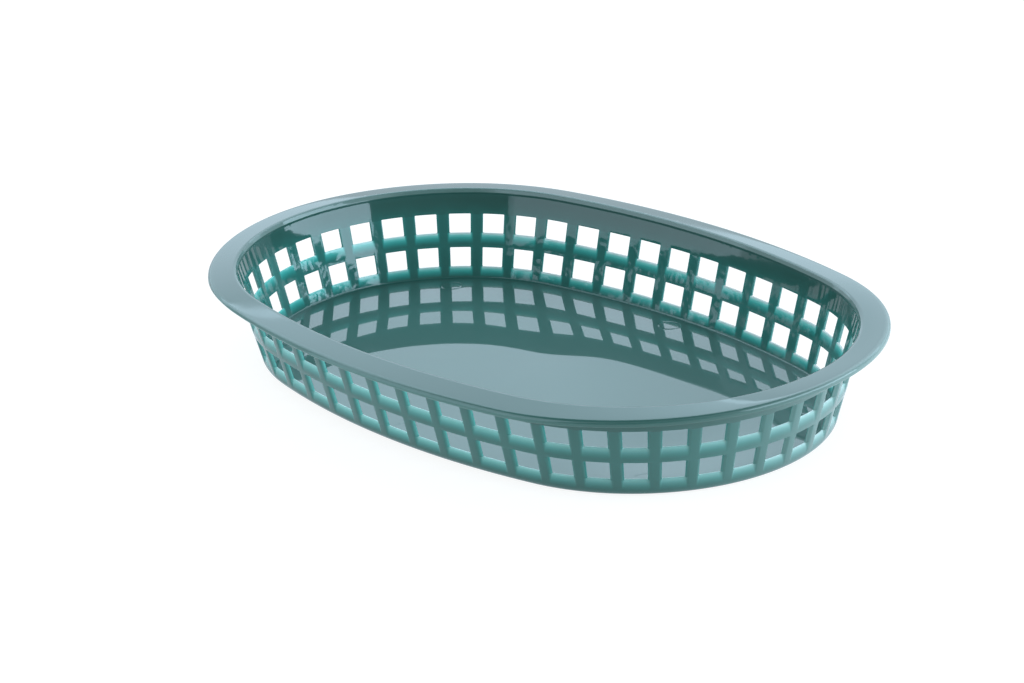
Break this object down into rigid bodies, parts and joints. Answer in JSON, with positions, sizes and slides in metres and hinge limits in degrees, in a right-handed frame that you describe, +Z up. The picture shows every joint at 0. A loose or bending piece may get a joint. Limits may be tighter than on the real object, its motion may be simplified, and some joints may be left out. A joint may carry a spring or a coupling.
{
  "type": "serving basket",
  "caption": "Shallow oval serving basket with a drooping flanged rim, a leaning wall of open square lattice and a flat solid floor.",
  "frame": {"origin": "middle of the foot on the table, under the middle of the oval", "axes": "+X along the basket's length, +Y across it, +Z up"},
  "size_m": [0.2666, 0.181, 0.0348],
  "materials": {
    "green_plastic": "glossy moulded, slightly translucent where thin"
  },
  "bodies": {
    "root": {"rim_flange": "green_plastic", "upper_band": "green_plastic", "middle_rail": "green_plastic", "lower_band": "green_plastic", "floor_panel": "green_plastic", "side_upright_01": "green_plastic", "side_upright_02": "green_plastic", "side_upright_03": "green_plastic", "side_upright_04": "green_plastic", "side_upright_05": "green_plastic", "side_upright_06": "green_plastic", "side_upright_07": "green_plastic", "side_upright_08": "green_plastic", "side_upright_09": "green_plastic", "side_upright_10": "green_plastic", "side_upright_11": "green_plastic", "side_upright_12": "green_plastic", "side_upright_13": "green_plastic", "side_upright_14": "green_plastic", "side_upright_15": "green_plastic", "side_upright_16": "green_plastic", "side_upright_17": "green_plastic", "side_upright_18": "green_plastic", "end_upright_01": "green_plastic", "end_upright_02": "green_plastic", "end_upright_03": "green_plastic", "end_upright_04": "green_plastic", "end_upright_05": "green_plastic", "end_upright_06": "green_plastic", "end_upright_07": "green_plastic", "end_upright_08": "green_plastic", "end_upright_09": "green_plastic", "end_upright_10": "green_plastic", "end_upright_11": "green_plastic", "end_upright_12": "green_plastic", "end_upright_13": "green_plastic", "end_upright_14": "green_plastic", "end_upright_15": "green_plastic", "end_upright_16": "green_plastic", "end_upright_17": "green_plastic", "end_upright_18": "green_plastic", "end_upright_19": "green_plastic", "end_upright_20": "green_plastic", "end_upright_21": "green_plastic", "end_upright_22": "green_plastic", "end_upright_23": "green_plastic", "end_upright_24": "green_plastic", "end_upright_25": "green_plastic", "end_upright_26": "green_plastic", "end_upright_27": "green_plastic", "end_upright_28": "green_plastic", "end_upright_29": "green_plastic", "end_upright_30": "green_plastic"}
  },
  "joints": []
}
